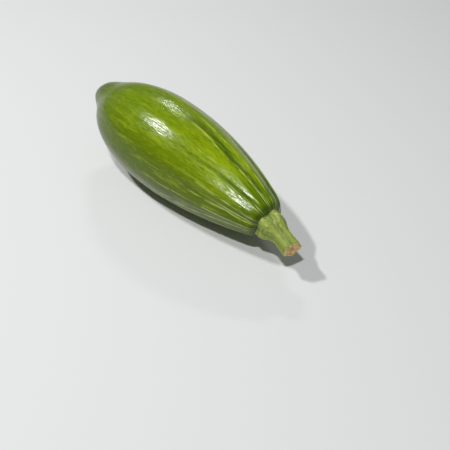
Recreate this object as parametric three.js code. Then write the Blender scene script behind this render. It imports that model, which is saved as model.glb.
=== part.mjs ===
// A Korean zucchini (aehobak, Cucurbita moschata) as picked: one fruit and its cut stem, lying on its side.
// Millimetres, +Z up. +X runs from the blossom end to the stem, and the fruit rests on z = 0.
import * as THREE from "three";
import { LoftGeometry } from "three/addons/geometries/LoftGeometry.js";

// Fruit
const BODY_LENGTH = 170; // along the axis, from the blossom pole to the crown
const GIRTH_RADIUS = 33; // at the widest section
const OUTLINE_SPAN = 0.85; // share of the full outline that the body takes up before the crown cuts it short
const OUTLINE_LEAN = 0.66; // below 1, the widest section lies nearer to the blossom end
const OUTLINE_FULLNESS = 2.12; // higher gives a fuller, blunter outline
const CROWN_SHARPNESS = 110; // higher closes the body over the crown in a shorter length
const AXIS_BEND = 3.5; // how far the crown lies off the line of the blossom half
const AXIS_BEND_START = 0.85; // share of the length at which that bend is centred
const BEND_DIRECTION = new THREE.Vector3(0, -0.86, -0.51); // sideways and down
const NUB_HEIGHT = 8.3; // the blunt nub at the blossom end stands out this far
const NUB_RADIUS = 12.2;
const NUB_CENTRE = new THREE.Vector2(1.7, 6.5); // in y and z: it grew a little off the axis
const SCAR_RADIUS = 3.6; // the shallow blossom scar in the nub's tip
const SCAR_DEPTH = 0.7;
const RIB_COUNT = 10;
const RIB_HEIGHT = 0.55; // near the stem, fading to a trace at mid length
const RIB_TRACE = 0.12;

// Stem
const STEM_LENGTH = 24.8; // from the crown to the cut
const STEM_TURN = new THREE.Vector2(2.1, 1.8); // how far off the crown's axis the cut lies, in two directions
const COLLAR_RADIUS = 11; // mean radius of the flared foot that grips the crown
const COLLAR_DROP = 2.2; // the foot reaches this far down over the crown
const COLLAR_ROUNDING = 1.2;
const FLARE_HEIGHT = 10.6; // the collar narrows to the shaft over this height
const SHAFT_RADIUS = 6;
const LOBE_COUNT = 5;
const LOBE_SHARE = 0.105; // the collar's lobes stand out by this share of the radius
const RIDGE_SHARE = 0.06; // the lobes run on up the shaft as ridges, this high at the cut
const CUT_ROUNDING = 0.6;
const CUT_HOLLOW = 0.4; // the cut face dries slightly hollow
const CUT_SLANT = 0.24; // the knife went through at a slant: the tangent of its angle
const CUT_SLANT_ANGLE = THREE.MathUtils.degToRad(275); // of the cut's low side, round from the bend direction
const UNDERSIDE_RINGS = 6;
const LOBE_ANGLE = THREE.MathUtils.degToRad(3.6); // of the first lobe, round from the bend direction
const STEM_GAP = 0.3; // clearance between the collar and the crown

// How it lies
const REST_PITCH = THREE.MathUtils.degToRad(3); // the slim end dips until the weight is over the contact
const CONTACT_DEPTH = 0.4; // the skin flattens by this much where the fruit rests

const FRUIT_RINGS = 56;
const FRUIT_SEGMENTS = 60;
const STEM_SEGMENTS = 50;

const axis = new THREE.QuadraticBezierCurve3(
  new THREE.Vector3(0, 0, 0),
  new THREE.Vector3(BODY_LENGTH * AXIS_BEND_START, 0, 0),
  new THREE.Vector3(BODY_LENGTH, 0, 0).addScaledVector(BEND_DIRECTION, AXIS_BEND),
);

// Tangent and the two cross directions at a point of a curve that bends in the plane of BEND_DIRECTION.
function frameAt(curve, along) {
  const tangent = curve.getTangentAt(along);
  const side = BEND_DIRECTION.clone().projectOnPlane(tangent).normalize();
  return { tangent, side, across: new THREE.Vector3().crossVectors(tangent, side) };
}

function pointOn(curve, along, radius, angle, rise = 0) {
  const { tangent, side, across } = frameAt(curve, along);
  return curve
    .getPointAt(along)
    .addScaledVector(side, radius * Math.cos(angle))
    .addScaledVector(across, radius * Math.sin(angle))
    .addScaledVector(tangent, rise);
}

// Radius of the smooth body at a share of its length: 0 at the blossom pole, 1 at the crown.
function bodyRadius(along) {
  const outline = 2 * (OUTLINE_SPAN * along) ** OUTLINE_LEAN - 1;
  const crown = Math.sqrt(Math.max(0, 1 - along ** CROWN_SHARPNESS));
  return GIRTH_RADIUS * (1 - Math.abs(outline) ** OUTLINE_FULLNESS) * crown;
}

function ribbedRadius(along, angle) {
  const smooth = bodyRadius(along);
  const strength = THREE.MathUtils.lerp(RIB_TRACE, RIB_HEIGHT, THREE.MathUtils.smoothstep(along, 0.45, 0.9));
  const fade = Math.min(1, smooth / (GIRTH_RADIUS / 2));
  return smooth + strength * fade * Math.cos(RIB_COUNT * (angle - LOBE_ANGLE));
}

// The nub and the scar in its tip push the blossom end out and back in along the axis.
function pushNub(point) {
  const radius = NUB_CENTRE.distanceTo(new THREE.Vector2(point.y, point.z));
  const nub = NUB_HEIGHT * Math.exp(-((radius / NUB_RADIUS) ** 4));
  const scar = SCAR_DEPTH * Math.exp(-((radius / SCAR_RADIUS) ** 4));
  point.x += scar - nub;
}

function fruitGeometry() {
  const sections = [];
  for (let ring = 0; ring <= FRUIT_RINGS; ring++) {
    const along = 0.5 - 0.5 * Math.cos((Math.PI * ring) / FRUIT_RINGS);
    const section = [];
    for (let i = 0; i < FRUIT_SEGMENTS; i++) {
      const angle = (2 * Math.PI * i) / FRUIT_SEGMENTS;
      const point = pointOn(axis, along, ribbedRadius(along, angle), angle);
      if (along < 0.5) pushNub(point);
      section.push(point);
    }
    sections.push(section);
  }
  return new LoftGeometry(sections);
}

// Height of the body's surface over the crown's apex, at a radius and angle about the crown's axis.
function crownHeight(radius, angle) {
  let low = 0.9;
  let high = 1;
  for (let halving = 0; halving < 30; halving++) {
    const middle = (low + high) / 2;
    if (ribbedRadius(middle, angle) > radius) low = middle;
    else high = middle;
  }
  const surface = pointOn(axis, low, radius, angle);
  return surface.sub(axis.getPointAt(1)).dot(axis.getTangentAt(1));
}

// The stem's half outline as (radius, height over the crown's apex), from the middle of its underside to the
// middle of the cut. The underside is drawn too low here, and is lifted onto the crown afterwards.
function stemOutline() {
  const foot = -COLLAR_DROP;
  const underside = [];
  for (let ring = 0; ring < UNDERSIDE_RINGS; ring++) {
    underside.push(new THREE.Vector2(((COLLAR_RADIUS - COLLAR_ROUNDING) * ring) / UNDERSIDE_RINGS, foot));
  }
  const path = new THREE.Path();
  path.moveTo(COLLAR_RADIUS - COLLAR_ROUNDING, foot);
  path.quadraticCurveTo(COLLAR_RADIUS, foot, COLLAR_RADIUS, foot + COLLAR_ROUNDING);
  path.bezierCurveTo(
    COLLAR_RADIUS - 0.5, FLARE_HEIGHT * 0.45,
    SHAFT_RADIUS + 1.3, FLARE_HEIGHT * 0.75,
    SHAFT_RADIUS + 0.5, FLARE_HEIGHT,
  );
  path.bezierCurveTo(
    SHAFT_RADIUS, FLARE_HEIGHT * 1.25,
    SHAFT_RADIUS - 0.3, STEM_LENGTH * 0.8,
    SHAFT_RADIUS + 0.3, STEM_LENGTH - CUT_ROUNDING,
  );
  path.quadraticCurveTo(SHAFT_RADIUS + 0.3, STEM_LENGTH, SHAFT_RADIUS - CUT_ROUNDING, STEM_LENGTH);
  path.lineTo(SHAFT_RADIUS / 2, STEM_LENGTH - CUT_HOLLOW);
  path.lineTo(0, STEM_LENGTH - CUT_HOLLOW);
  return underside.concat(path.getPoints(6));
}

function stemGeometry() {
  const { tangent, side, across } = frameAt(axis, 1);
  const crown = axis.getPointAt(1);
  const middle = crown.clone().addScaledVector(tangent, STEM_LENGTH / 2);
  const cut = crown
    .clone()
    .addScaledVector(tangent, STEM_LENGTH)
    .addScaledVector(side, STEM_TURN.x)
    .addScaledVector(across, STEM_TURN.y);
  const line = new THREE.QuadraticBezierCurve3(crown, middle, cut);
  const sections = stemOutline().map(({ x: meanRadius, y: height }) => {
    const section = [];
    const share = THREE.MathUtils.lerp(
      LOBE_SHARE,
      RIDGE_SHARE,
      THREE.MathUtils.smoothstep(height, 0, STEM_LENGTH),
    );
    const slantShare = CUT_SLANT * THREE.MathUtils.smoothstep(height, STEM_LENGTH / 2, STEM_LENGTH);
    for (let i = 0; i < STEM_SEGMENTS; i++) {
      const angle = (2 * Math.PI * i) / STEM_SEGMENTS;
      const radius = meanRadius * (1 + share * Math.cos(LOBE_COUNT * (angle - LOBE_ANGLE)));
      const clear = height < 0 ? Math.max(height, crownHeight(radius, angle) + STEM_GAP) : height;
      const along = THREE.MathUtils.clamp(clear / STEM_LENGTH, 0, 1);
      const slant = slantShare * radius * Math.cos(angle - CUT_SLANT_ANGLE);
      section.push(pointOn(line, along, radius, angle, clear - along * STEM_LENGTH - slant));
    }
    return section;
  });
  return new LoftGeometry(sections);
}

// Lifts a geometry onto the floor, and flattens what would sink below it.
function layDown(geometry, lift) {
  geometry.translate(0, 0, lift);
  const places = geometry.getAttribute("position");
  for (let i = 0; i < places.count; i++) places.setZ(i, Math.max(0, places.getZ(i)));
  return geometry;
}

const fruitShape = fruitGeometry().rotateY(REST_PITCH);
const stemShape = stemGeometry().rotateY(REST_PITCH);
fruitShape.computeBoundingBox();
const lift = -fruitShape.boundingBox.min.z - CONTACT_DEPTH;

const fruit = new THREE.Mesh(
  layDown(fruitShape, lift),
  new THREE.MeshStandardMaterial({ color: 0x748b1c, roughness: 0.32, metalness: 0 }),
);
fruit.name = "fruit";

const stem = new THREE.Mesh(
  layDown(stemShape, lift),
  new THREE.MeshStandardMaterial({ color: 0x7f9a3c, roughness: 0.55, metalness: 0 }),
);
stem.name = "stem";

const zucchini = new THREE.Group();
zucchini.add(fruit, stem);
const middle = new THREE.Box3().setFromObject(zucchini).getCenter(new THREE.Vector3());
zucchini.position.set(-middle.x, -middle.y, 0);

export default zucchini;
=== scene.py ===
"""A Korean zucchini lying on its side: the fruit's skin, its cut stem and the stem's bristles, in metres."""
import math

import bpy
from mathutils import Matrix, Vector


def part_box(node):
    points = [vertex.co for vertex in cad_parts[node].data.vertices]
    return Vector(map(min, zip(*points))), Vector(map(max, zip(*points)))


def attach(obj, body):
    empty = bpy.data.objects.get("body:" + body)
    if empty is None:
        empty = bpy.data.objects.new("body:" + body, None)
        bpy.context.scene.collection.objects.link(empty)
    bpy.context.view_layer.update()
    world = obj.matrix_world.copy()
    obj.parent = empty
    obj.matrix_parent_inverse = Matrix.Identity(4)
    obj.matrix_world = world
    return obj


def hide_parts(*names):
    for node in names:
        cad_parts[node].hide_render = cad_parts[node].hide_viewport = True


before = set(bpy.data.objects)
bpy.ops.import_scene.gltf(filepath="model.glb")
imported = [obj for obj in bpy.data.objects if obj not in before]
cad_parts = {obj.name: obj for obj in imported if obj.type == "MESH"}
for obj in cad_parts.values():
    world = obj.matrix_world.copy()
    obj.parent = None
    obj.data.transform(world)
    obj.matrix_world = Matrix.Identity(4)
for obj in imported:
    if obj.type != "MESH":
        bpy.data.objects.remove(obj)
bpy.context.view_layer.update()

MM = 0.001
FRUIT_LOW, FRUIT_HIGH = (Vector(corner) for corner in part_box("fruit"))

# Directions of growth: the fruit bends sideways and down towards the stem.
BEND = Vector((0, -0.86, -0.51)).normalized()
REST_PITCH = math.radians(3)
LOBE_ANGLE = math.radians(3.6)
BODY_LENGTH = 170 * MM
GIRTH_RADIUS = 33 * MM
BEND_HEIGHT = 3.5 * MM
BEND_START = 0.85
RIBS = 10
LOBES = 5
AXIS_STEPS = 128
STEM_LINE_STEPS = 64
WELD = 0.001 * MM  # points closer than this are one


# ---------------------------------------------------------------- small tools

def linear(hex_colour):
    """An sRGB hex colour as linear RGBA."""
    parts = [int(hex_colour[i:i + 2], 16) / 255 for i in (1, 3, 5)]
    return tuple(c / 12.92 if c <= 0.04045 else ((c + 0.055) / 1.055) ** 2.4 for c in parts) + (1.0,)


def add(tree, kind, *feeds, out=0, named=None, **settings):
    """Adds a node with these settings, feeds its open sockets in order or by name, and returns one output."""
    made = tree.nodes.new(kind)
    for key, value in settings.items():
        setattr(made, key, value)
    sockets = [socket for socket in made.inputs if socket.enabled]
    pairs = list(zip(sockets, feeds))
    for key, value in (named or {}).items():
        pairs.append((next(socket for socket in sockets if socket.name == key), value))
    for socket, value in pairs:
        if isinstance(value, bpy.types.NodeSocket):
            tree.links.new(value, socket)
        elif value is not None:
            socket.default_value = value
    outputs = [socket for socket in made.outputs if socket.enabled]
    return outputs[out] if outputs else made


def shape_tree(name, sizes, takes_mesh=False):
    """A geometry tree with a named input for each size and material, and those inputs by name."""
    tree = bpy.data.node_groups.new(name, "GeometryNodeTree")
    if takes_mesh:
        tree.interface.new_socket("Mesh", in_out="INPUT", socket_type="NodeSocketGeometry")
    for key, value in sizes.items():
        kind = {int: "Int", float: "Float", Vector: "Vector", bpy.types.Material: "Material"}[type(value)]
        tree.interface.new_socket(key, in_out="INPUT", socket_type="NodeSocket" + kind)
    tree.interface.new_socket("Geometry", in_out="OUTPUT", socket_type="NodeSocketGeometry")
    return tree, tree.nodes.new("NodeGroupInput").outputs


def grow(name, tree, sizes, base=None):
    """Evaluates a geometry tree once and returns the plain mesh object."""
    holder = bpy.data.objects.new(name + "_seed", base or bpy.data.meshes.new(name + "_seed"))
    bpy.context.scene.collection.objects.link(holder)
    modifier = holder.modifiers.new(name, "NODES")
    modifier.node_group = tree
    for item in tree.interface.items_tree:
        if item.in_out == "INPUT" and item.name in sizes:
            modifier[item.identifier] = sizes[item.name]
    bpy.context.view_layer.update()
    graph = bpy.context.evaluated_depsgraph_get()
    mesh = bpy.data.meshes.new_from_object(
        holder.evaluated_get(graph), preserve_all_data_layers=True, depsgraph=graph
    )
    bpy.data.objects.remove(holder)
    piece = bpy.data.objects.new(name, mesh)
    mesh.name = name
    bpy.context.scene.collection.objects.link(piece)
    return piece


def cross_frame(tree, tangent, bend):
    """The two directions across a path that bends in the plane of bend."""
    lean = add(tree, "ShaderNodeVectorMath", bend, tangent, operation="DOT_PRODUCT")
    along = add(tree, "ShaderNodeVectorMath", tangent, named={"Scale": lean}, operation="SCALE")
    side = add(tree, "ShaderNodeVectorMath", bend, along, operation="SUBTRACT")
    side = add(tree, "ShaderNodeVectorMath", side, operation="NORMALIZE")
    return side, add(tree, "ShaderNodeVectorMath", tangent, side, operation="CROSS_PRODUCT")


def ring_point(tree, centre, side, across, radius, angle):
    """A point at a radius and angle round a centre."""
    cosine = add(tree, "ShaderNodeMath", angle, operation="COSINE")
    sine = add(tree, "ShaderNodeMath", angle, operation="SINE")
    reach = add(tree, "ShaderNodeMath", radius, cosine, operation="MULTIPLY")
    width = add(tree, "ShaderNodeMath", radius, sine, operation="MULTIPLY")
    first = add(tree, "ShaderNodeVectorMath", side, named={"Scale": reach}, operation="SCALE")
    second = add(tree, "ShaderNodeVectorMath", across, named={"Scale": width}, operation="SCALE")
    point = add(tree, "ShaderNodeVectorMath", centre, first, operation="ADD")
    return add(tree, "ShaderNodeVectorMath", point, second, operation="ADD"), cosine, sine


def hump(tree, distance, width, height, power=4.0):
    """A flat-topped hump of that height at distance 0, gone past width."""
    share = add(tree, "ShaderNodeMath", distance, width, operation="DIVIDE")
    steep = add(tree, "ShaderNodeMath", share, power, operation="POWER")
    falling = add(tree, "ShaderNodeMath", steep, -1.0, operation="MULTIPLY")
    shape = add(tree, "ShaderNodeMath", falling, operation="EXPONENT")
    return add(tree, "ShaderNodeMath", shape, height, operation="MULTIPLY")


# ---------------------------------------------------------------- materials

def new_material(name):
    """A material with its node tree and its shader."""
    material = bpy.data.materials.new(name)
    material.use_nodes = True
    tree = material.node_tree
    return material, tree, tree.nodes["Principled BSDF"]


def noise(tree, vector, stretch, grain, detail=2.0, roughness=0.5):
    """Noise with grains of a real size in metres, stretched along the third axis."""
    place = add(tree, "ShaderNodeVectorMath", vector, (1.0, 1.0, 1.0 / stretch), operation="MULTIPLY")
    shape = {"Scale": 1 / grain, "Detail": detail, "Roughness": roughness}
    return add(tree, "ShaderNodeTexNoise", place, named=shape)


def waxy_skin():
    """Korean zucchini skin: waxy and mottled yellow-green, with dark bands and pale lines near the stem."""
    material, tree, shader = new_material("zucchini_skin")
    place = add(tree, "ShaderNodeAttribute", attribute_name="skin", out=1)
    across_x = add(tree, "ShaderNodeSeparateXYZ", place, out=0)
    across_y = add(tree, "ShaderNodeSeparateXYZ", place, out=1)
    metres = add(tree, "ShaderNodeSeparateXYZ", place, out=2)
    angle = add(tree, "ShaderNodeMath", across_y, across_x, operation="ARCTAN2")
    along = add(tree, "ShaderNodeMath", metres, BODY_LENGTH, operation="DIVIDE")

    # The ground colour goes from dull olive at the blossom end to deeper green at the stem.
    ramp = add(tree, "ShaderNodeValToRGB", along).node
    stops = [
        (0.0, "#5f6c40"), (0.1, "#627424"), (0.25, "#6b8308"),
        (0.6, "#788f00"), (0.8, "#8aa206"), (0.94, "#587404"),
    ]
    for position, colour in stops[2:]:
        ramp.color_ramp.elements.new(position)
    for element, (position, colour) in zip(ramp.color_ramp.elements, stops):
        element.position = position
        element.color = linear(colour)
    colour = ramp.outputs[0]

    # Bands: the angle wanders slowly so that no two bands are alike.
    wander = noise(tree, place, 5.0, 18 * MM)
    band_angle = add(tree, "ShaderNodeMath", angle, float(RIBS), LOBE_ANGLE * -RIBS, operation="MULTIPLY_ADD")
    drift = add(tree, "ShaderNodeMath", wander, 7.0, band_angle, operation="MULTIPLY_ADD")
    band = add(tree, "ShaderNodeMath", drift, operation="COSINE")
    feather = noise(tree, place, 7.0, 2.4 * MM, 3.0)
    soft_band = add(tree, "ShaderNodeMath", feather, 2.4, band, operation="MULTIPLY_ADD")
    band_mask = add(
        tree, "ShaderNodeMapRange", soft_band, 1.42, 2.2, 0.0, 1.0, interpolation_type="SMOOTHSTEP"
    )
    # Painted light: the bands and lines stop short on the upper flank, which faces the lamps, so that flank
    # is painted lighter.
    painted_light_side = add(tree, "ShaderNodeMath", angle, math.radians(76), operation="ADD")
    painted_light_side = add(tree, "ShaderNodeMath", painted_light_side, operation="COSINE")
    painted_light_side = add(tree, "ShaderNodeMapRange", painted_light_side, 0.6, 0.95, 0.06, -0.18, interpolation_type="SMOOTHSTEP")
    reach = add(tree, "ShaderNodeMath", along, painted_light_side, operation="ADD")
    near_stem = add(tree, "ShaderNodeMapRange", reach, 0.3, 0.85, 0.12, 0.95, interpolation_type="SMOOTHSTEP")
    band_share = add(tree, "ShaderNodeMath", band_mask, near_stem, operation="MULTIPLY")
    colour = add(tree, "ShaderNodeMix", band_share, colour, linear("#345008"), data_type="RGBA")

    # Painted shade: the lower flank, which lies in shade, is painted a darker green.
    painted_shade_side = add(tree, "ShaderNodeMath", angle, math.radians(6), operation="ADD")
    painted_shade_side = add(tree, "ShaderNodeMath", painted_shade_side, operation="COSINE")
    painted_shade_side = add(tree, "ShaderNodeMapRange", painted_shade_side, 0.0, 0.9, 0.0, 0.8, interpolation_type="SMOOTHSTEP")
    colour = add(tree, "ShaderNodeMix", painted_shade_side, colour, linear("#455504"), data_type="RGBA")

    # Flecks a millimetre wide, lighter and darker than the ground, and faint near the blossom end.
    fleck = noise(tree, place, 4.5, 0.95 * MM, 4.0, 0.65)
    calm = add(tree, "ShaderNodeMapRange", along, 0.08, 0.42, 0.35, 1.0, interpolation_type="SMOOTHSTEP")
    light = add(tree, "ShaderNodeMapRange", fleck, 0.53, 0.7, 0.0, 0.38, interpolation_type="SMOOTHSTEP")
    light = add(tree, "ShaderNodeMath", light, calm, operation="MULTIPLY")
    colour = add(tree, "ShaderNodeMix", light, colour, linear("#94aa26"), data_type="RGBA")
    dark = add(tree, "ShaderNodeMapRange", fleck, 0.49, 0.34, 0.0, 0.65, interpolation_type="SMOOTHSTEP")
    colour = add(tree, "ShaderNodeMix", dark, colour, linear("#526a00"), data_type="RGBA")
    patch = noise(tree, place, 5.5, 3.7 * MM, 4.0, 0.65)
    dull = add(tree, "ShaderNodeMapRange", patch, 0.5, 0.64, 0.0, 0.5, interpolation_type="SMOOTHSTEP")
    colour = add(tree, "ShaderNodeMix", dull, colour, linear("#5a7200"), data_type="RGBA")
    fresh = add(tree, "ShaderNodeMapRange", patch, 0.48, 0.35, 0.0, 0.42, interpolation_type="SMOOTHSTEP")
    fresh = add(tree, "ShaderNodeMath", fresh, calm, operation="MULTIPLY")
    colour = add(tree, "ShaderNodeMix", fresh, colour, linear("#94aa18"), data_type="RGBA")

    # Pale broken lines between the bands, thin and crowded near the stem.
    line_angle = add(tree, "ShaderNodeMath", angle, 2.0 * RIBS, operation="MULTIPLY")
    line_drift = add(tree, "ShaderNodeMath", wander, 9.0, line_angle, operation="MULTIPLY_ADD")
    line = add(tree, "ShaderNodeMath", line_drift, operation="COSINE")
    line = add(tree, "ShaderNodeMapRange", line, 0.78, 0.98, 0.0, 1.0, interpolation_type="SMOOTHSTEP")
    dash = noise(tree, place, 5.0, 1.7 * MM, 2.0)
    dash = add(tree, "ShaderNodeMapRange", dash, 0.38, 0.56, 0.0, 1.0, interpolation_type="SMOOTHSTEP")
    line_fade = add(tree, "ShaderNodeMapRange", reach, 0.38, 0.8, 0.0, 0.95, interpolation_type="SMOOTHSTEP")
    line = add(tree, "ShaderNodeMath", line, dash, operation="MULTIPLY")
    line = add(tree, "ShaderNodeMath", line, line_fade, operation="MULTIPLY")
    colour = add(tree, "ShaderNodeMix", line, colour, linear("#b0c256"), data_type="RGBA")
    thread = noise(tree, place, 16.0, 2.4 * MM, 3.0, 0.6)
    thread = add(tree, "ShaderNodeMapRange", thread, 0.55, 0.66, 0.0, 1.0, interpolation_type="SMOOTHSTEP")
    thread_fade = add(
        tree, "ShaderNodeMapRange", along, 0.74, 0.95, 0.0, 0.8, interpolation_type="SMOOTHSTEP"
    )
    thread = add(tree, "ShaderNodeMath", thread, thread_fade, operation="MULTIPLY")
    colour = add(tree, "ShaderNodeMix", thread, colour, linear("#b3c37a"), data_type="RGBA")

    # The crown is painted darker under the collar: partly its own dark green ring, partly painted shade where
    # the collar sits on it.
    crown = add(tree, "ShaderNodeMapRange", along, 0.965, 0.99, 0.0, 0.7, interpolation_type="SMOOTHSTEP")
    colour = add(tree, "ShaderNodeMix", crown, colour, linear("#33480c"), data_type="RGBA")

    # The nub is duller, and its tip holds the corky blossom scar.
    nub = add(tree, "ShaderNodeAttribute", attribute_name="nub", out=2)
    nub_dull = add(
        tree, "ShaderNodeMapRange", nub, 14 * MM, 7 * MM, 0.0, 0.65, interpolation_type="SMOOTHSTEP"
    )
    colour = add(tree, "ShaderNodeMix", nub_dull, colour, linear("#44531a"), data_type="RGBA")
    cork = add(tree, "ShaderNodeMix", fleck, linear("#463a1c"), linear("#8c7e50"), data_type="RGBA")
    ragged = add(tree, "ShaderNodeMath", fleck, 2.6 * MM, nub, operation="MULTIPLY_ADD")
    scar = add(
        tree, "ShaderNodeMapRange", ragged, 4.7 * MM, 3.6 * MM, 0.0, 0.9, interpolation_type="SMOOTHSTEP"
    )
    colour = add(tree, "ShaderNodeMix", scar, colour, cork, data_type="RGBA")

    tree.links.new(colour, shader.inputs["Base Color"])
    gloss = add(tree, "ShaderNodeMapRange", fleck, 0.3, 0.7, 0.17, 0.26)
    tree.links.new(gloss, shader.inputs["Roughness"])
    shader.inputs["IOR"].default_value = 1.42
    shader.inputs["Specular IOR Level"].default_value = 0.36
    pimples = noise(tree, place, 3.6, 2.5 * MM, 2.0, 0.55)
    bump = add(tree, "ShaderNodeBump", named={"Strength": 0.65, "Distance": 0.42 * MM, "Height": pimples})
    tree.links.new(bump, shader.inputs["Normal"])
    return material


def stalk_rind():
    """The stem's dull, fibrous rind: pale yellow-green ridges, darker grooves, rough flecks on the collar."""
    material, tree, shader = new_material("stem_rind")
    place = add(tree, "ShaderNodeAttribute", attribute_name="stalk", out=1)
    across_x = add(tree, "ShaderNodeSeparateXYZ", place, out=0)
    across_y = add(tree, "ShaderNodeSeparateXYZ", place, out=1)
    height = add(tree, "ShaderNodeSeparateXYZ", place, out=2)
    angle = add(tree, "ShaderNodeMath", across_y, across_x, operation="ARCTAN2")
    turn = add(tree, "ShaderNodeMath", angle, float(LOBES), LOBE_ANGLE * -LOBES, operation="MULTIPLY_ADD")
    ridge = add(tree, "ShaderNodeMath", turn, operation="COSINE")
    crest = add(tree, "ShaderNodeMapRange", ridge, -0.9, 0.8, 0.0, 1.0, interpolation_type="SMOOTHSTEP")
    colour = add(tree, "ShaderNodeMix", crest, linear("#667f1e"), linear("#8b9b38"), data_type="RGBA")
    fibre = noise(tree, place, 9.0, 0.67 * MM, 3.0)
    streak = add(tree, "ShaderNodeMapRange", fibre, 0.45, 0.7, 0.0, 0.5)
    colour = add(tree, "ShaderNodeMix", streak, colour, linear("#a3ae50"), data_type="RGBA")
    warts = noise(tree, place, 1.8, 1.2 * MM, 4.0, 0.7)
    collar = add(
        tree, "ShaderNodeMapRange", height, 12 * MM, 3 * MM, 0.15, 0.75, interpolation_type="SMOOTHSTEP"
    )
    fleck = add(tree, "ShaderNodeMapRange", warts, 0.5, 0.64, 0.0, 1.0, interpolation_type="SMOOTHSTEP")
    fleck = add(tree, "ShaderNodeMath", fleck, collar, operation="MULTIPLY")
    colour = add(tree, "ShaderNodeMix", fleck, colour, linear("#c0c46c"), data_type="RGBA")
    shade = add(tree, "ShaderNodeMapRange", warts, 0.46, 0.34, 0.0, 0.5, interpolation_type="SMOOTHSTEP")
    colour = add(tree, "ShaderNodeMix", shade, colour, linear("#415810"), data_type="RGBA")
    tree.links.new(colour, shader.inputs["Base Color"])
    shader.inputs["Roughness"].default_value = 0.55
    grain = add(tree, "ShaderNodeMath", warts, fibre, operation="ADD")
    bump = add(tree, "ShaderNodeBump", named={"Strength": 0.6, "Distance": 0.35 * MM, "Height": grain})
    tree.links.new(bump, shader.inputs["Normal"])
    return material


def dried_cut():
    """The cut end of the stem, dried tan and brown, greener at the rim and darker in the middle."""
    material, tree, shader = new_material("stem_cut")
    place = add(tree, "ShaderNodeAttribute", attribute_name="stalk", out=1)
    grain = noise(tree, place, 1.0, 1.1 * MM, 3.0, 0.6)
    tone = add(tree, "ShaderNodeMapRange", grain, 0.36, 0.64, 0.0, 1.0)
    colour = add(tree, "ShaderNodeMix", tone, linear("#b3864a"), linear("#fbdfa6"), data_type="RGBA")
    rim = add(tree, "ShaderNodeAttribute", attribute_name="rim", out=2)
    edge = add(tree, "ShaderNodeMapRange", rim, 0.86, 0.98, 0.0, 0.85, interpolation_type="SMOOTHSTEP")
    colour = add(tree, "ShaderNodeMix", edge, colour, linear("#a3ad62"), data_type="RGBA")
    pith = add(tree, "ShaderNodeMapRange", rim, 0.36, 0.2, 0.0, 0.35, interpolation_type="SMOOTHSTEP")
    colour = add(tree, "ShaderNodeMix", pith, colour, linear("#6f5430"), data_type="RGBA")
    tree.links.new(colour, shader.inputs["Base Color"])
    shader.inputs["Roughness"].default_value = 0.85
    bump = add(tree, "ShaderNodeBump", named={"Strength": 0.7, "Distance": 0.3 * MM, "Height": grain})
    tree.links.new(bump, shader.inputs["Normal"])
    return material


def bristle_hair():
    """Short dry plant hairs, pale straw green."""
    material, tree, shader = new_material("stem_bristle")
    place = add(tree, "ShaderNodeTexCoord", out=3)
    tone = noise(tree, place, 1.0, 1.7 * MM, 1.0)
    colour = add(tree, "ShaderNodeMix", tone, linear("#b3bf7c"), linear("#d3d6a6"), data_type="RGBA")
    tree.links.new(colour, shader.inputs["Base Color"])
    shader.inputs["Roughness"].default_value = 0.5
    return material


# ---------------------------------------------------------------- the fruit

fruit_sizes = {
    "Rings": 330, "Segments": 264,
    "Length": BODY_LENGTH, "Girth": GIRTH_RADIUS,
    "Outline Span": 0.85, "Outline Lean": 0.66, "Outline Fullness": 2.12, "Crown Sharpness": 110.0,
    "Bend": BEND, "Bend Height": BEND_HEIGHT, "Bend Start": BEND_START,
    "Rib Trace": 0.12 * MM, "Rib Height": 0.55 * MM,
    "Nub Height": 8.3 * MM, "Nub Radius": 12.2 * MM, "Nub Centre": Vector((0, 1.7, 6.5)) * MM,
    "Scar Radius": 3.6 * MM, "Scar Depth": 0.7 * MM,
    "Dent Depth": 0.45 * MM, "Fine Dent Share": 0.3, "Dent Level": 0.8,
    "Contact Depth": 0.4 * MM, "Pitch": REST_PITCH,
    "Lowest": FRUIT_LOW, "Highest": FRUIT_HIGH,
    "Skin": waxy_skin(),
}


FLOOR_LIMIT = (-1, -1, 0)  # the skin gives way below z = 0, and x and y are never this low


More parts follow.
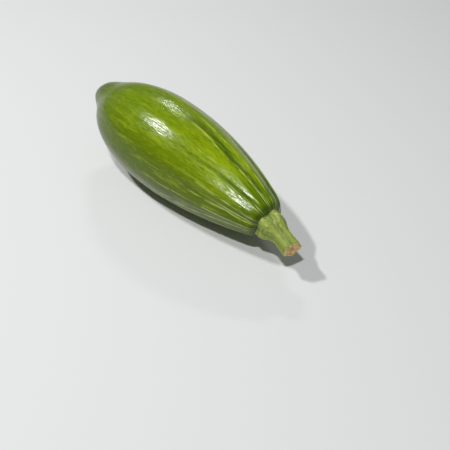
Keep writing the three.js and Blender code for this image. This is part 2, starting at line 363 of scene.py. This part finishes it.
def fruit_tree():
    tree, size = shape_tree("zucchini_body", fruit_sizes)
    columns = add(tree, "ShaderNodeMath", size["Segments"], 1.0, operation="ADD")
    sheet = add(tree, "GeometryNodeMeshGrid", 1.0, 1.0, size["Rings"], columns)
    spot = add(tree, "GeometryNodeInputPosition")
    u = add(tree, "ShaderNodeSeparateXYZ", spot, out=0)
    v = add(tree, "ShaderNodeSeparateXYZ", spot, out=1)

    # Rings crowd at both ends: along = 0.5 - 0.5 cos(pi (u + 0.5)) = 0.5 + 0.5 sin(pi u).
    swing = add(tree, "ShaderNodeMath", u, math.pi, operation="MULTIPLY")
    swing = add(tree, "ShaderNodeMath", swing, operation="SINE")
    along = add(tree, "ShaderNodeMath", swing, 0.5, 0.5, operation="MULTIPLY_ADD")
    angle = add(tree, "ShaderNodeMath", v, math.tau, math.pi, operation="MULTIPLY_ADD")

    # The outline's radius.
    span = add(tree, "ShaderNodeMath", along, size["Outline Span"], operation="MULTIPLY")
    lean = add(tree, "ShaderNodeMath", span, size["Outline Lean"], operation="POWER")
    outline = add(tree, "ShaderNodeMath", lean, 2.0, -1.0, operation="MULTIPLY_ADD")
    outline = add(tree, "ShaderNodeMath", outline, operation="ABSOLUTE")
    outline = add(tree, "ShaderNodeMath", outline, size["Outline Fullness"], operation="POWER")
    outline = add(tree, "ShaderNodeMath", 1.0, outline, operation="SUBTRACT")
    crown = add(tree, "ShaderNodeMath", along, size["Crown Sharpness"], operation="POWER")
    crown = add(tree, "ShaderNodeMath", 1.0, crown, operation="SUBTRACT")
    crown = add(tree, "ShaderNodeMath", crown, 0.0, operation="MAXIMUM")
    crown = add(tree, "ShaderNodeMath", crown, operation="SQRT")
    smooth = add(tree, "ShaderNodeMath", outline, crown, operation="MULTIPLY")
    smooth = add(tree, "ShaderNodeMath", smooth, size["Girth"], operation="MULTIPLY")

    # Shallow ribs, strongest near the stem.
    strength = add(
        tree, "ShaderNodeMapRange", along, 0.45, 0.9, size["Rib Trace"], size["Rib Height"],
        interpolation_type="SMOOTHSTEP",
    )
    half_girth = add(tree, "ShaderNodeMath", size["Girth"], 0.5, operation="MULTIPLY")
    fade = add(tree, "ShaderNodeMapRange", smooth, 0.0, half_girth, 0.0, 1.0)
    turn = add(tree, "ShaderNodeMath", angle, float(RIBS), LOBE_ANGLE * -RIBS, operation="MULTIPLY_ADD")
    wave = add(tree, "ShaderNodeMath", turn, operation="COSINE")
    rib = add(tree, "ShaderNodeMath", strength, fade, operation="MULTIPLY")
    radius = add(tree, "ShaderNodeMath", rib, wave, smooth, operation="MULTIPLY_ADD")

    # The bent axis carries the rings.
    middle = add(tree, "ShaderNodeMath", size["Length"], size["Bend Start"], operation="MULTIPLY")
    middle = add(tree, "ShaderNodeCombineXYZ", middle)
    drop = add(
        tree, "ShaderNodeVectorMath", size["Bend"], named={"Scale": size["Bend Height"]}, operation="SCALE"
    )
    end = add(tree, "ShaderNodeCombineXYZ", size["Length"])
    end = add(tree, "ShaderNodeVectorMath", end, drop, operation="ADD")
    axis = add(tree, "GeometryNodeCurveQuadraticBezier", AXIS_STEPS, (0, 0, 0), middle, end)
    carried = add(
        tree, "GeometryNodeSampleCurve", named={"Curves": axis, "Factor": along}, mode="FACTOR",
    ).node
    tangent = add(tree, "ShaderNodeVectorMath", carried.outputs["Tangent"], operation="NORMALIZE")
    side, across = cross_frame(tree, tangent, size["Bend"])
    point, cosine, sine = ring_point(tree, carried.outputs["Position"], side, across, radius, angle)

    # The nub at the blossom end, with the scar in its tip.
    off = add(tree, "ShaderNodeVectorMath", point, size["Nub Centre"], operation="SUBTRACT")
    off = add(tree, "ShaderNodeVectorMath", off, (0, 1, 1), operation="MULTIPLY")
    nub_distance = add(tree, "ShaderNodeVectorMath", off, operation="LENGTH")
    nub = hump(tree, nub_distance, size["Nub Radius"], size["Nub Height"])
    scar = hump(tree, nub_distance, size["Scar Radius"], size["Scar Depth"])
    push = add(tree, "ShaderNodeMath", scar, nub, operation="SUBTRACT")
    blossom_half = add(tree, "ShaderNodeMath", along, 0.5, operation="LESS_THAN")
    push = add(tree, "ShaderNodeMath", push, blossom_half, operation="MULTIPLY")
    push = add(tree, "ShaderNodeCombineXYZ", push)
    point = add(tree, "ShaderNodeVectorMath", point, push, operation="ADD")
    # Where each point of the skin lies: round the fruit and along it, and how far from the nub's middle.
    ring_x = add(tree, "ShaderNodeMath", cosine, size["Girth"], operation="MULTIPLY")
    ring_y = add(tree, "ShaderNodeMath", sine, size["Girth"], operation="MULTIPLY")
    metres = add(tree, "ShaderNodeMath", along, size["Length"], operation="MULTIPLY")
    skin_place = add(tree, "ShaderNodeCombineXYZ", ring_x, ring_y, metres)
    placed = add(
        tree, "GeometryNodeStoreNamedAttribute",
        named={"Geometry": sheet, "Name": "skin", "Value": skin_place}, data_type="FLOAT_VECTOR",
    )
    far = add(tree, "ShaderNodeMath", 1.0, blossom_half, operation="SUBTRACT")
    nub_place = add(tree, "ShaderNodeMath", nub_distance, far, operation="ADD")
    placed = add(
        tree, "GeometryNodeStoreNamedAttribute",
        named={"Geometry": placed, "Name": "nub", "Value": nub_place}, data_type="FLOAT",
    )
    body = add(tree, "GeometryNodeSetPosition", named={"Geometry": placed, "Position": point})
    closed = add(tree, "GeometryNodeMergeByDistance", named={"Geometry": body, "Distance": WELD})

    # Lie down: pitch, move into the box, dent slightly, and flatten where it rests.
    tilt = add(tree, "ShaderNodeCombineXYZ", 0.0, size["Pitch"])
    lying = add(tree, "GeometryNodeTransform", named={"Geometry": closed, "Rotation": tilt})
    reach = add(tree, "GeometryNodeBoundBox", lying).node
    low, high = reach.outputs["Min"], reach.outputs["Max"]
    centre = add(tree, "ShaderNodeVectorMath", low, high, operation="ADD")
    target = add(tree, "ShaderNodeVectorMath", size["Lowest"], size["Highest"], operation="ADD")
    shift = add(tree, "ShaderNodeVectorMath", target, centre, operation="SUBTRACT")
    shift = add(tree, "ShaderNodeVectorMath", shift, named={"Scale": 0.5}, operation="SCALE")
    shift_x = add(tree, "ShaderNodeSeparateXYZ", shift, out=0)
    shift_y = add(tree, "ShaderNodeSeparateXYZ", shift, out=1)
    low_z = add(tree, "ShaderNodeSeparateXYZ", low, out=2)
    shift_z = add(tree, "ShaderNodeMath", low_z, size["Contact Depth"], operation="ADD")
    shift_z = add(tree, "ShaderNodeMath", shift_z, -1.0, operation="MULTIPLY")
    shift = add(tree, "ShaderNodeCombineXYZ", shift_x, shift_y, shift_z)
    moved = add(tree, "GeometryNodeTransform", named={"Geometry": lying, "Translation": shift})

    spot = add(tree, "GeometryNodeInputPosition")
    broad = noise(tree, spot, 1.0, 26 * MM, 1.0)
    fine = noise(tree, spot, 1.0, 4.8 * MM)
    relief = add(tree, "ShaderNodeMath", fine, size["Fine Dent Share"], broad, operation="MULTIPLY_ADD")
    relief = add(tree, "ShaderNodeMath", relief, size["Dent Level"], operation="SUBTRACT")
    relief = add(tree, "ShaderNodeMath", relief, size["Dent Depth"], operation="MULTIPLY")
    normal = add(tree, "GeometryNodeInputNormal")
    dent = add(tree, "ShaderNodeVectorMath", normal, named={"Scale": relief}, operation="SCALE")
    dented = add(tree, "GeometryNodeSetPosition", named={"Geometry": moved, "Offset": dent})
    spot = add(tree, "GeometryNodeInputPosition")
    flat = add(tree, "ShaderNodeVectorMath", spot, FLOOR_LIMIT, operation="MAXIMUM")
    rested = add(tree, "GeometryNodeSetPosition", named={"Geometry": dented, "Position": flat})
    soft = add(tree, "GeometryNodeSetShadeSmooth", named={"Geometry": rested})
    real = add(tree, "GeometryNodeRealizeInstances", named={"Geometry": soft})
    clad = add(tree, "GeometryNodeSetMaterial", named={"Geometry": real, "Material": size["Skin"]})
    add(tree, "NodeGroupOutput", clad)
    return tree


skin = grow("fruit_skin", fruit_tree(), fruit_sizes)
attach(skin, "root")
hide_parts("fruit")


# ---------------------------------------------------------------- the stem

def pitched(vector):
    return Matrix.Rotation(REST_PITCH, 3, "Y") @ Vector(vector)


# The stem stands on the crown, which is the skin's far pole.
skin_place = skin.data.attributes["skin"].data
crown_index = max(range(len(skin_place)), key=lambda index: skin_place[index].vector.z)
crown_point = skin.data.vertices[crown_index].co.copy()
crown_axis = pitched(Vector((1 - BEND_START, 0, 0)) * BODY_LENGTH + BEND * BEND_HEIGHT).normalized()

stem_sizes = {
    "Rows": 190, "Segments": 180,
    "Crown": crown_point, "Growth": crown_axis, "Bend": pitched(BEND),
    "Stem Length": 24.0 * MM, "Turn Side": 2.1 * MM, "Turn Across": 1.8 * MM,
    "Foot": 4.2 * MM, "Collar Radius": 10.4 * MM, "Shaft Radius": 6 * MM,
    "Flare Start": 1.5 * MM, "Flare Height": 13.4 * MM, "Lean Share": 0.06, "Lean Angle": math.radians(219.6),
    "Cut Swell": 0.35 * MM, "Lobe Share": 0.085, "Ridge Share": 0.06,
    "Cut Slant": 0.24, "Slant Angle": math.radians(275),
    "Cut Rounding": 0.6 * MM, "Cut Hollow": 0.4 * MM, "Pith Width": 0.3, "Pith Depth": 0.7 * MM,
    "Bundle Ring": 0.7, "Bundle Width": 0.09, "Bundle Height": 0.2 * MM, "Wart Height": 0.55 * MM,
    "Rind": stalk_rind(), "Cut": dried_cut(),
}
UNDERSIDE = 0.06  # share of the outline's steps spent under the foot
WALL_END = 0.8  # the steps beyond this cross the cut face
CUT_RIM = 0.97  # the attribute "rim" is 1 on the wall, and falls to 0 in the middle of the cut
WALL_RIM = 0.995


def stem_tree():
    tree, size = shape_tree("zucchini_stem", stem_sizes)
    columns = add(tree, "ShaderNodeMath", size["Segments"], 1.0, operation="ADD")
    sheet = add(tree, "GeometryNodeMeshGrid", 1.0, 1.0, size["Rows"], columns)
    spot = add(tree, "GeometryNodeInputPosition")
    u = add(tree, "ShaderNodeSeparateXYZ", spot, out=0)
    v = add(tree, "ShaderNodeSeparateXYZ", spot, out=1)
    step = add(tree, "ShaderNodeMath", u, 0.5, operation="ADD")
    angle = add(tree, "ShaderNodeMath", v, math.tau, math.pi, operation="MULTIPLY_ADD")

    # The outline: out under the foot, up the wall, and in across the slanted cut.
    foot = add(tree, "ShaderNodeMath", size["Foot"], -1.0, operation="MULTIPLY")
    wall_top = add(tree, "ShaderNodeMath", size["Stem Length"], size["Cut Rounding"], operation="SUBTRACT")
    wall = add(tree, "ShaderNodeMapRange", step, UNDERSIDE, WALL_END, foot, wall_top)
    outward = add(tree, "ShaderNodeMapRange", step, 0.0, UNDERSIDE, 0.0, 1.0)
    inward = add(tree, "ShaderNodeMapRange", step, WALL_END, 1.0, 0.0, 1.0)
    inward = add(tree, "ShaderNodeMath", inward, 1.6, operation="POWER")
    rim = add(tree, "ShaderNodeMath", 1.0, inward, operation="SUBTRACT")
    sharp = add(tree, "ShaderNodeMath", rim, 14.0, operation="POWER")
    rounding = add(tree, "ShaderNodeMath", 1.0, sharp, operation="SUBTRACT")
    rounding = add(tree, "ShaderNodeMath", rounding, size["Cut Rounding"], operation="MULTIPLY")
    bowl = add(tree, "ShaderNodeMath", rim, 2.0, operation="POWER")
    bowl = add(tree, "ShaderNodeMath", 1.0, bowl, operation="SUBTRACT")
    bowl = add(tree, "ShaderNodeMath", bowl, size["Cut Hollow"], operation="MULTIPLY")
    pith = hump(tree, rim, size["Pith Width"], size["Pith Depth"], 2.0)
    ring = add(tree, "ShaderNodeMath", rim, size["Bundle Ring"], operation="SUBTRACT")
    ring = add(tree, "ShaderNodeMath", ring, operation="ABSOLUTE")
    ring = hump(tree, ring, size["Bundle Width"], size["Bundle Height"], 2.0)
    bundle_turn = add(tree, "ShaderNodeMath", angle, 2.0 * LOBES, operation="MULTIPLY")
    bundle = add(tree, "ShaderNodeMath", bundle_turn, operation="COSINE")
    bundle = add(tree, "ShaderNodeMath", bundle, 1.0, operation="ADD")
    bundle = add(tree, "ShaderNodeMath", ring, bundle, operation="MULTIPLY")
    height = add(tree, "ShaderNodeMath", wall, rounding, operation="ADD")
    height = add(tree, "ShaderNodeMath", height, bowl, operation="SUBTRACT")
    height = add(tree, "ShaderNodeMath", height, pith, operation="SUBTRACT")
    height = add(tree, "ShaderNodeMath", height, bundle, operation="ADD")

    # The collar flares to the crown, and its lobes run up the shaft as ridges.
    mean = add(
        tree, "ShaderNodeMapRange", wall, size["Flare Start"], size["Flare Height"], size["Collar Radius"],
        size["Shaft Radius"],
        interpolation_type="SMOOTHSTEP",
    )
    swell = add(
        tree, "ShaderNodeMapRange", wall, size["Flare Height"], size["Stem Length"], 0.0, size["Cut Swell"],
        interpolation_type="SMOOTHSTEP",
    )
    mean = add(tree, "ShaderNodeMath", mean, swell, operation="ADD")
    share = add(
        tree, "ShaderNodeMapRange", wall, 0.0, size["Stem Length"], size["Lobe Share"], size["Ridge Share"],
        interpolation_type="SMOOTHSTEP",
    )
    turn = add(tree, "ShaderNodeMath", angle, float(LOBES), LOBE_ANGLE * -LOBES, operation="MULTIPLY_ADD")
    wave = add(tree, "ShaderNodeMath", turn, operation="COSINE")
    double = add(tree, "ShaderNodeMath", turn, 2.0, operation="MULTIPLY")
    double = add(tree, "ShaderNodeMath", double, operation="COSINE")
    wave = add(tree, "ShaderNodeMath", double, 0.22, wave, operation="MULTIPLY_ADD")
    lobe = add(tree, "ShaderNodeMath", share, wave, 1.0, operation="MULTIPLY_ADD")
    radius = add(tree, "ShaderNodeMath", mean, lobe, operation="MULTIPLY")
    # The collar is narrower on one side.
    lean = add(
        tree, "ShaderNodeMapRange", wall, size["Flare Start"], size["Flare Height"], size["Lean Share"], 0.0,
        interpolation_type="SMOOTHSTEP",
    )
    leaning = add(tree, "ShaderNodeMath", angle, size["Lean Angle"], operation="SUBTRACT")
    leaning = add(tree, "ShaderNodeMath", leaning, operation="COSINE")
    leaning = add(tree, "ShaderNodeMath", leaning, 1.0, operation="ADD")
    leaning = add(tree, "ShaderNodeMath", leaning, lean, operation="MULTIPLY")
    leaning = add(tree, "ShaderNodeMath", 1.0, leaning, operation="SUBTRACT")
    radius = add(tree, "ShaderNodeMath", radius, leaning, operation="MULTIPLY")
    radius = add(tree, "ShaderNodeMath", radius, outward, operation="MULTIPLY")
    radius = add(tree, "ShaderNodeMath", radius, rim, operation="MULTIPLY")

    # A short bent line carries the sections; below the crown they keep its direction.
    reach = add(tree, "ShaderNodeMath", size["Stem Length"], 0.5, operation="MULTIPLY")
    halfway = add(tree, "ShaderNodeVectorMath", size["Growth"], named={"Scale": reach}, operation="SCALE")
    top = add(tree, "ShaderNodeVectorMath", halfway, named={"Scale": 2.0}, operation="SCALE")
    side, across = cross_frame(tree, size["Growth"], size["Bend"])
    to_side = add(tree, "ShaderNodeVectorMath", side, named={"Scale": size["Turn Side"]}, operation="SCALE")
    to_across = add(
        tree, "ShaderNodeVectorMath", across, named={"Scale": size["Turn Across"]}, operation="SCALE"
    )
    top = add(tree, "ShaderNodeVectorMath", top, to_side, operation="ADD")
    top = add(tree, "ShaderNodeVectorMath", top, to_across, operation="ADD")
    line = add(tree, "GeometryNodeCurveQuadraticBezier", STEM_LINE_STEPS, (0, 0, 0), halfway, top)
    share_up = add(tree, "ShaderNodeMath", height, size["Stem Length"], operation="DIVIDE")
    share_up = add(tree, "ShaderNodeClamp", share_up, 0.0, 1.0)
    carried = add(
        tree, "GeometryNodeSampleCurve", named={"Curves": line, "Factor": share_up}, mode="FACTOR",
    ).node
    tangent = add(tree, "ShaderNodeVectorMath", carried.outputs["Tangent"], operation="NORMALIZE")
    side, across = cross_frame(tree, tangent, size["Bend"])
    point, cosine, sine = ring_point(tree, carried.outputs["Position"], side, across, radius, angle)
    reached = add(tree, "ShaderNodeMath", share_up, size["Stem Length"], operation="MULTIPLY")
    beyond = add(tree, "ShaderNodeMath", height, reached, operation="SUBTRACT")
    slant = add(
        tree, "ShaderNodeMapRange", wall, reach, size["Stem Length"], 0.0, size["Cut Slant"],
        interpolation_type="SMOOTHSTEP",
    )
    facing = add(tree, "ShaderNodeMath", angle, size["Slant Angle"], operation="SUBTRACT")
    facing = add(tree, "ShaderNodeMath", facing, operation="COSINE")
    facing = add(tree, "ShaderNodeMath", facing, radius, operation="MULTIPLY")
    slant = add(tree, "ShaderNodeMath", slant, facing, operation="MULTIPLY")
    beyond = add(tree, "ShaderNodeMath", beyond, slant, operation="SUBTRACT")
    beyond = add(tree, "ShaderNodeVectorMath", tangent, named={"Scale": beyond}, operation="SCALE")
    point = add(tree, "ShaderNodeVectorMath", point, beyond, operation="ADD")
    point = add(tree, "ShaderNodeVectorMath", point, size["Crown"], operation="ADD")

    ring_x = add(tree, "ShaderNodeMath", cosine, size["Shaft Radius"], operation="MULTIPLY")
    ring_x = add(tree, "ShaderNodeMath", ring_x, rim, operation="MULTIPLY")
    ring_y = add(tree, "ShaderNodeMath", sine, size["Shaft Radius"], operation="MULTIPLY")
    ring_y = add(tree, "ShaderNodeMath", ring_y, rim, operation="MULTIPLY")
    place = add(tree, "ShaderNodeCombineXYZ", ring_x, ring_y, wall)
    marked = add(
        tree, "GeometryNodeStoreNamedAttribute",
        named={"Geometry": sheet, "Name": "stalk", "Value": place}, data_type="FLOAT_VECTOR",
    )
    marked = add(
        tree, "GeometryNodeStoreNamedAttribute",
        named={"Geometry": marked, "Name": "rim", "Value": rim}, data_type="FLOAT",
    )
    stood = add(tree, "GeometryNodeSetPosition", named={"Geometry": marked, "Position": point})
    closed = add(tree, "GeometryNodeMergeByDistance", named={"Geometry": stood, "Distance": WELD})

    # Warts and fibres, in the stem's own coordinates.
    kept = add(tree, "GeometryNodeInputNamedAttribute", "stalk", data_type="FLOAT_VECTOR")
    rim_kept = add(tree, "GeometryNodeInputNamedAttribute", "rim", data_type="FLOAT")
    wart = noise(tree, kept, 1.7, 1.6 * MM, 3.0)
    wart = add(tree, "ShaderNodeMath", wart, 0.55, operation="SUBTRACT")
    fibre = noise(tree, kept, 12.0, 0.9 * MM)
    fibre = add(tree, "ShaderNodeMath", fibre, 0.5, operation="SUBTRACT")
    relief = add(tree, "ShaderNodeMath", fibre, 1.0, wart, operation="MULTIPLY_ADD")
    relief = add(tree, "ShaderNodeMath", relief, size["Wart Height"], operation="MULTIPLY")
    normal = add(tree, "GeometryNodeInputNormal")
    relief = add(tree, "ShaderNodeVectorMath", normal, named={"Scale": relief}, operation="SCALE")
    rough = add(tree, "GeometryNodeSetPosition", named={"Geometry": closed, "Offset": relief})
    soft = add(tree, "GeometryNodeSetShadeSmooth", named={"Geometry": rough})
    real = add(tree, "GeometryNodeRealizeInstances", named={"Geometry": soft})
    clad = add(tree, "GeometryNodeSetMaterial", named={"Geometry": real, "Material": size["Rind"]})
    on_cut = add(tree, "ShaderNodeMath", rim_kept, CUT_RIM, operation="LESS_THAN")
    clad = add(
        tree, "GeometryNodeSetMaterial",
        named={"Geometry": clad, "Selection": on_cut, "Material": size["Cut"]},
    )
    add(tree, "NodeGroupOutput", clad)
    return tree


stem = grow("stem_rind", stem_tree(), stem_sizes)
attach(stem, "root")
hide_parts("stem")


# ---------------------------------------------------------------- the stem's bristles

bristle_sizes = {
    "Density": 0.8 / MM ** 2, "Bristle Length": 0.6 * MM, "Bristle Radius": 0.045 * MM,
    "Tip Radius": 0.006 * MM,
    "Seed": 7, "Bristle": bristle_hair(),
}


BRISTLE_SIDES = 5


def bristle_tree():
    tree, size = shape_tree("stem_bristles", bristle_sizes, takes_mesh=True)
    rim = add(tree, "GeometryNodeInputNamedAttribute", "rim", data_type="FLOAT")
    on_wall = add(tree, "ShaderNodeMath", rim, WALL_RIM, operation="GREATER_THAN")
    spread = add(
        tree, "GeometryNodeDistributePointsOnFaces",
        named={"Mesh": size["Mesh"], "Selection": on_wall, "Density": size["Density"], "Seed": size["Seed"]},
    ).node
    hair = add(
        tree, "GeometryNodeMeshCone",
        named={"Vertices": BRISTLE_SIDES, "Radius Top": size["Tip Radius"],
               "Radius Bottom": size["Bristle Radius"], "Depth": size["Bristle Length"]},
    )
    lean = add(tree, "FunctionNodeRandomValue", (-0.5, -0.5, 0), (0.5, 0.5, 0), data_type="FLOAT_VECTOR")
    lean = add(tree, "FunctionNodeEulerToRotation", lean)
    turned = add(tree, "FunctionNodeRotateRotation", spread.outputs["Rotation"], lean, rotation_space="LOCAL")
    grown = add(tree, "FunctionNodeRandomValue", 0.5, 1.2, data_type="FLOAT")
    hairs = add(
        tree, "GeometryNodeInstanceOnPoints",
        named={"Points": spread.outputs["Points"], "Instance": hair, "Rotation": turned, "Scale": grown},
    )
    real = add(tree, "GeometryNodeRealizeInstances", named={"Geometry": hairs})
    clad = add(tree, "GeometryNodeSetMaterial", named={"Geometry": real, "Material": size["Bristle"]})
    add(tree, "NodeGroupOutput", clad)
    return tree


bristles = grow("stem_bristles", bristle_tree(), bristle_sizes, base=stem.data.copy())
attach(bristles, "root")


# ---------------------------------------------------------------- floor, light and camera

def floor_material():
    material, tree, shader = new_material("studio_floor")
    shader.inputs["Base Color"].default_value = linear("#d8d9d9")
    shader.inputs["Roughness"].default_value = 0.9
    return material


FLOOR_SIZE = 6.0
bpy.ops.mesh.primitive_plane_add(size=FLOOR_SIZE, location=(0, 0, 0))
floor = bpy.context.object
floor.name = "floor"
floor.data.materials.append(floor_material())

scene = bpy.context.scene
scene.view_settings.view_transform = "Standard"
scene.world = bpy.data.worlds.new("studio")
scene.world.use_nodes = True
sky = scene.world.node_tree.nodes["Background"]
sky.inputs["Color"].default_value = linear("#f4f6f8")
sky.inputs["Strength"].default_value = 0.15

FRUIT_CENTRE = (FRUIT_LOW + FRUIT_HIGH) / 2
SOFTBOXES = (
    # name, place in metres, width along x and y, power in watts
    ("key", (-0.62, -0.36, 1.05), 0.12, 0.05, 8.3),
    ("stem_side", (0.25, -0.42, 1.08), 0.09, 0.05, 7.0),
    ("back", (-0.72, 0.75, 0.80), 0.20, 0.05, 1.9),
)
for name, place, width, depth, power in SOFTBOXES:
    lamp = bpy.data.lights.new(name, "AREA")
    lamp.shape = "RECTANGLE"
    lamp.size = width
    lamp.size_y = depth
    lamp.energy = power
    holder = bpy.data.objects.new(name, lamp)
    holder.location = Vector(place)
    holder.rotation_euler = (FRUIT_CENTRE - holder.location).to_track_quat("-Z", "Y").to_euler()
    scene.collection.objects.link(holder)

AZIMUTH = math.radians(45.0)
ELEVATION = math.radians(44.4)
DISTANCE = 0.481
AIM = FRUIT_CENTRE + Vector((5.6, 0.2, -1.0)) * MM
ASIDE = 28.2 * MM  # the view's middle lies this far to the right of the aim, and below it
BELOW = 48.3 * MM
FIELD_OF_VIEW = math.radians(36)
NEAREST = 10 * MM
back = Vector((
    math.sin(AZIMUTH) * math.cos(ELEVATION), -math.cos(AZIMUTH) * math.cos(ELEVATION), math.sin(ELEVATION),
))
right = Vector((math.cos(AZIMUTH), math.sin(AZIMUTH), 0))
up = back.cross(right)
camera_data = bpy.data.cameras.new("camera")
camera_data.angle = FIELD_OF_VIEW
camera_data.clip_start = NEAREST
camera = bpy.data.objects.new("camera", camera_data)
camera.location = AIM + ASIDE * right - BELOW * up + DISTANCE * back
camera.rotation_euler = Matrix((right, up, back)).transposed().to_euler()
scene.collection.objects.link(camera)
scene.camera = camera

bpy.context.view_layer.update()
